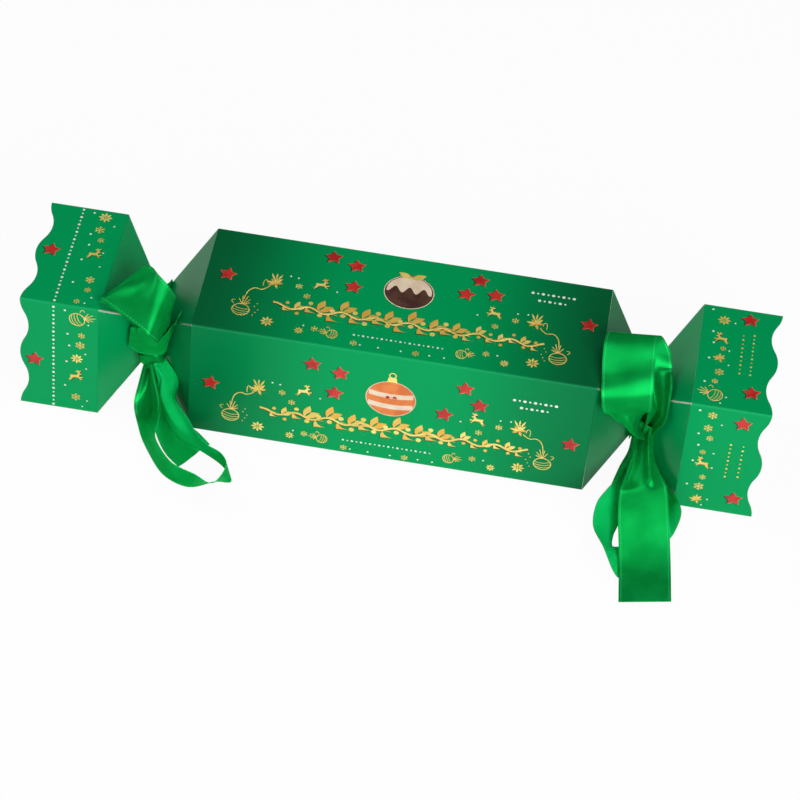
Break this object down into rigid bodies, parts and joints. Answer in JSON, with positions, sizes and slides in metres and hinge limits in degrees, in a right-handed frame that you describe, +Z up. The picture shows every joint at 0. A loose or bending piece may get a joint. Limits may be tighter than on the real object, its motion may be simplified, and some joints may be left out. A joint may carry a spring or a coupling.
{
  "type": "christmas cracker carton",
  "caption": "Cracker-shaped folding carton of square section, its necks tied in with satin ribbon bows, with scalloped ends that open out and a bag of treats inside.",
  "frame": {"origin": "middle of the face that the barrel lies on", "axes": "+X along the barrel to the right as pictured, +Y away from the bows, +Z up"},
  "size_m": [0.33, 0.1292, 0.078],
  "materials": {
    "printed_board": "gloss printed",
    "raw_board": "matte",
    "satin_ribbon": "satin",
    "bag_film": "gloss"
  },
  "bodies": {
    "barrel": {"barrel_top_panel": "printed_board", "barrel_front_panel": "printed_board", "barrel_bottom_panel": "printed_board", "barrel_back_panel": "printed_board", "barrel_glue_flap": "raw_board", "treat_pouch": "bag_film"},
    "left_sleeve": {"left_sleeve_top_panel": "printed_board", "left_sleeve_front_panel": "printed_board", "left_sleeve_bottom_panel": "printed_board", "left_sleeve_back_panel": "printed_board", "left_sleeve_glue_flap": "raw_board"},
    "left_inner_taper_top": {"left_inner_taper_top": "printed_board"},
    "left_outer_taper_top": {"left_outer_taper_top": "printed_board"},
    "left_inner_taper_front": {"left_inner_taper_front": "printed_board"},
    "left_outer_taper_front": {"left_outer_taper_front": "printed_board"},
    "left_inner_taper_bottom": {"left_inner_taper_bottom": "printed_board"},
    "left_outer_taper_bottom": {"left_outer_taper_bottom": "printed_board"},
    "left_inner_taper_back": {"left_inner_taper_back": "printed_board"},
    "left_outer_taper_back": {"left_outer_taper_back": "printed_board"},
    "left_ribbon": {"left_ribbon_wrap": "satin_ribbon", "left_ribbon_knot": "satin_ribbon", "left_ribbon_upper_loop": "satin_ribbon", "left_ribbon_hanging_loop": "satin_ribbon", "left_ribbon_tail": "satin_ribbon", "left_ribbon_fold": "satin_ribbon"},
    "right_sleeve": {"right_sleeve_top_panel": "printed_board", "right_sleeve_front_panel": "printed_board", "right_sleeve_bottom_panel": "printed_board", "right_sleeve_back_panel": "printed_board", "right_sleeve_glue_flap": "raw_board"},
    "right_inner_taper_top": {"right_inner_taper_top": "printed_board"},
    "right_outer_taper_top": {"right_outer_taper_top": "printed_board"},
    "right_inner_taper_front": {"right_inner_taper_front": "printed_board"},
    "right_outer_taper_front": {"right_outer_taper_front": "printed_board"},
    "right_inner_taper_bottom": {"right_inner_taper_bottom": "printed_board"},
    "right_outer_taper_bottom": {"right_outer_taper_bottom": "printed_board"},
    "right_inner_taper_back": {"right_inner_taper_back": "printed_board"},
    "right_outer_taper_back": {"right_outer_taper_back": "printed_board"},
    "right_ribbon": {"right_ribbon_wrap": "satin_ribbon", "right_ribbon_knot": "satin_ribbon", "right_ribbon_upper_loop": "satin_ribbon", "right_ribbon_hanging_loop": "satin_ribbon", "right_ribbon_tail": "satin_ribbon"}
  },
  "joints": [
    {"name": "left_neck_unfold", "type": "hinge", "parent": "barrel", "child": "left_inner_taper_top", "pos_m": [-0.089, 0, 0.064], "axis": [0, 1, 0], "range_deg": [0, 48.8]},
    {"name": "left_waist_fold_top", "type": "hinge", "parent": "left_inner_taper_top", "child": "left_outer_taper_top", "pos_m": [-0.1095, 0, 0.0405], "axis": [0, 1, 0], "range_deg": [-97.7, 0]},
    {"name": "left_sleeve_crease_top", "type": "hinge", "parent": "left_outer_taper_top", "child": "left_sleeve", "pos_m": [-0.13, 0, 0.064], "axis": [0, 1, 0], "range_deg": [0, 48.9]},
    {"name": "left_inner_crease_front", "type": "hinge", "parent": "barrel", "child": "left_inner_taper_front", "pos_m": [-0.089, -0.032, 0.032], "axis": [0, 0, 1], "range_deg": [0, 48.9]},
    {"name": "left_outer_crease_front", "type": "hinge", "parent": "left_sleeve", "child": "left_outer_taper_front", "pos_m": [-0.13, -0.032, 0.032], "axis": [0, 0, -1], "range_deg": [0, 48.9]},
    {"name": "left_inner_crease_bottom", "type": "hinge", "parent": "barrel", "child": "left_inner_taper_bottom", "pos_m": [-0.089, 0, 0], "axis": [0, -1, 0], "range_deg": [0, 48.9]},
    {"name": "left_outer_crease_bottom", "type": "hinge", "parent": "left_sleeve", "child": "left_outer_taper_bottom", "pos_m": [-0.13, 0, 0], "axis": [0, 1, 0], "range_deg": [0, 48.9]},
    {"name": "left_inner_crease_back", "type": "hinge", "parent": "barrel", "child": "left_inner_taper_back", "pos_m": [-0.089, 0.032, 0.032], "axis": [0, 0, -1], "range_deg": [0, 48.9]},
    {"name": "left_outer_crease_back", "type": "hinge", "parent": "left_sleeve", "child": "left_outer_taper_back", "pos_m": [-0.13, 0.032, 0.032], "axis": [0, 0, 1], "range_deg": [0, 48.9]},
    {"name": "left_ribbon_off", "type": "slide", "parent": "barrel", "child": "left_ribbon", "axis": [0, -1, 0], "range_m": [0, 0.085], "deforming": ["left_ribbon_wrap"]},
    {"name": "right_neck_unfold", "type": "hinge", "parent": "barrel", "child": "right_inner_taper_top", "pos_m": [0.089, 0, 0.064], "axis": [0, -1, 0], "range_deg": [0, 48.8]},
    {"name": "right_waist_fold_top", "type": "hinge", "parent": "right_inner_taper_top", "child": "right_outer_taper_top", "pos_m": [0.1095, 0, 0.0405], "axis": [0, -1, 0], "range_deg": [-97.7, 0]},
    {"name": "right_sleeve_crease_top", "type": "hinge", "parent": "right_outer_taper_top", "child": "right_sleeve", "pos_m": [0.13, 0, 0.064], "axis": [0, -1, 0], "range_deg": [0, 48.9]},
    {"name": "right_inner_crease_front", "type": "hinge", "parent": "barrel", "child": "right_inner_taper_front", "pos_m": [0.089, -0.032, 0.032], "axis": [0, 0, -1], "range_deg": [0, 48.9]},
    {"name": "right_outer_crease_front", "type": "hinge", "parent": "right_sleeve", "child": "right_outer_taper_front", "pos_m": [0.13, -0.032, 0.032], "axis": [0, 0, 1], "range_deg": [0, 48.9]},
    {"name": "right_inner_crease_bottom", "type": "hinge", "parent": "barrel", "child": "right_inner_taper_bottom", "pos_m": [0.089, 0, 0], "axis": [0, 1, 0], "range_deg": [0, 48.9]},
    {"name": "right_outer_crease_bottom", "type": "hinge", "parent": "right_sleeve", "child": "right_outer_taper_bottom", "pos_m": [0.13, 0, 0], "axis": [0, -1, 0], "range_deg": [0, 48.9]},
    {"name": "right_inner_crease_back", "type": "hinge", "parent": "barrel", "child": "right_inner_taper_back", "pos_m": [0.089, 0.032, 0.032], "axis": [0, 0, 1], "range_deg": [0, 48.9]},
    {"name": "right_outer_crease_back", "type": "hinge", "parent": "right_sleeve", "child": "right_outer_taper_back", "pos_m": [0.13, 0.032, 0.032], "axis": [0, 0, -1], "range_deg": [0, 48.9]},
    {"name": "right_ribbon_off", "type": "slide", "parent": "barrel", "child": "right_ribbon", "axis": [0, -1, 0], "range_m": [0, 0.085], "deforming": ["right_ribbon_wrap"]}
  ],
  "couplings": [
    {"joint": "left_waist_fold_top", "follows": "left_neck_unfold", "ratio": -2},
    {"joint": "left_sleeve_crease_top", "follows": "left_neck_unfold", "ratio": 1},
    {"joint": "left_inner_crease_front", "follows": "left_neck_unfold", "ratio": 1},
    {"joint": "left_outer_crease_front", "follows": "left_neck_unfold", "ratio": 1},
    {"joint": "left_inner_crease_bottom", "follows": "left_neck_unfold", "ratio": 1},
    {"joint": "left_outer_crease_bottom", "follows": "left_neck_unfold", "ratio": 1},
    {"joint": "left_inner_crease_back", "follows": "left_neck_unfold", "ratio": 1},
    {"joint": "left_outer_crease_back", "follows": "left_neck_unfold", "ratio": 1},
    {"joint": "left_ribbon_off", "follows": "left_neck_unfold", "m_per_rad": 0.0995},
    {"joint": "right_waist_fold_top", "follows": "right_neck_unfold", "ratio": -2},
    {"joint": "right_sleeve_crease_top", "follows": "right_neck_unfold", "ratio": 1},
    {"joint": "right_inner_crease_front", "follows": "right_neck_unfold", "ratio": 1},
    {"joint": "right_outer_crease_front", "follows": "right_neck_unfold", "ratio": 1},
    {"joint": "right_inner_crease_bottom", "follows": "right_neck_unfold", "ratio": 1},
    {"joint": "right_outer_crease_bottom", "follows": "right_neck_unfold", "ratio": 1},
    {"joint": "right_inner_crease_back", "follows": "right_neck_unfold", "ratio": 1},
    {"joint": "right_outer_crease_back", "follows": "right_neck_unfold", "ratio": 1},
    {"joint": "right_ribbon_off", "follows": "right_neck_unfold", "m_per_rad": 0.0995}
  ]
}
